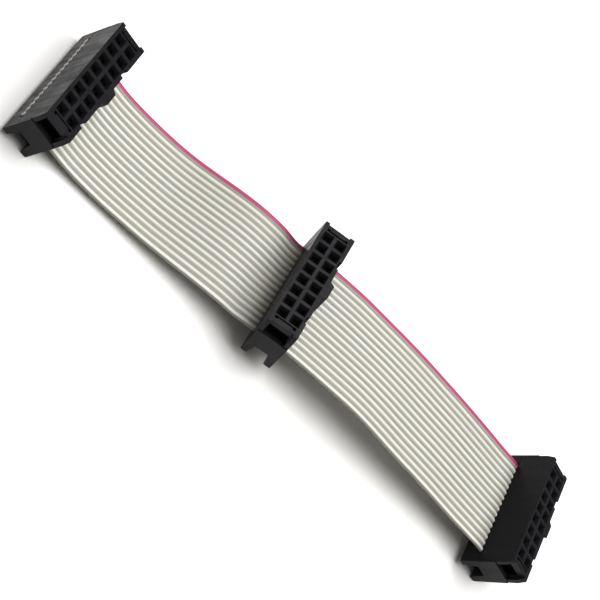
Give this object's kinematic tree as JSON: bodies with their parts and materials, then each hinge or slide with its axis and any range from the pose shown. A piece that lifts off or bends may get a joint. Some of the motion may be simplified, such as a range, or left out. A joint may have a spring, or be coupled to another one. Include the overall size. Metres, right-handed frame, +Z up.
{
  "type": "ribbon cable with crimp sockets",
  "caption": "Flat ribbon cable with a marked edge, joining keyed two-row crimp-on sockets at both ends and part-way along it.",
  "frame": {"origin": "centre of the box around the whole cable, on the surface that it stands on", "axes": "+X along the cable from the left socket to the right one, +Y to the marked pin 1 edge, +Z up, out of the sockets' mating faces"},
  "size_m": [0.1171, 0.0246, 0.0143],
  "materials": {
    "housing": "satin moulded black polyester with a fine texture",
    "cover": "satin moulded black polyester",
    "contact": "bare phosphor bronze, dulled",
    "insulation": "smooth warm grey vinyl",
    "marked_insulation": "smooth vinyl with a red edge mark",
    "copper": "tinned copper strands"
  },
  "bodies": {
    "middle_socket": {"middle_housing": "housing", "middle_cover": "cover", "middle_contact_01": "contact", "middle_contact_02": "contact", "middle_contact_03": "contact", "middle_contact_04": "contact", "middle_contact_05": "contact", "middle_contact_06": "contact", "middle_contact_07": "contact", "middle_contact_08": "contact", "middle_contact_09": "contact", "middle_contact_10": "contact", "middle_contact_11": "contact", "middle_contact_12": "contact", "middle_contact_13": "contact", "middle_contact_14": "contact", "middle_contact_15": "contact", "middle_contact_16": "contact", "ribbon_insulation": "insulation", "marked_edge_insulation": "marked_insulation", "copper_conductors": "copper"},
    "left_socket": {"left_housing": "housing", "left_cover": "cover", "left_contact_01": "contact", "left_contact_02": "contact", "left_contact_03": "contact", "left_contact_04": "contact", "left_contact_05": "contact", "left_contact_06": "contact", "left_contact_07": "contact", "left_contact_08": "contact", "left_contact_09": "contact", "left_contact_10": "contact", "left_contact_11": "contact", "left_contact_12": "contact", "left_contact_13": "contact", "left_contact_14": "contact", "left_contact_15": "contact", "left_contact_16": "contact"},
    "right_socket": {"right_housing": "housing", "right_cover": "cover", "right_contact_01": "contact", "right_contact_02": "contact", "right_contact_03": "contact", "right_contact_04": "contact", "right_contact_05": "contact", "right_contact_06": "contact", "right_contact_07": "contact", "right_contact_08": "contact", "right_contact_09": "contact", "right_contact_10": "contact", "right_contact_11": "contact", "right_contact_12": "contact", "right_contact_13": "contact", "right_contact_14": "contact", "right_contact_15": "contact", "right_contact_16": "contact"}
  },
  "joints": [
    {"name": "left_span_flex", "type": "hinge", "parent": "middle_socket", "child": "left_socket", "pos_m": [-0.03, 0, 0.0025], "axis": [0, 1, 0], "range_deg": [-90, 90], "deforming": ["ribbon_insulation", "marked_edge_insulation", "copper_conductors"]},
    {"name": "right_span_flex", "type": "hinge", "parent": "middle_socket", "child": "right_socket", "pos_m": [0.024, 0, 0.0075], "axis": [0, -1, 0], "range_deg": [-90, 90], "deforming": ["ribbon_insulation", "marked_edge_insulation", "copper_conductors"]}
  ]
}
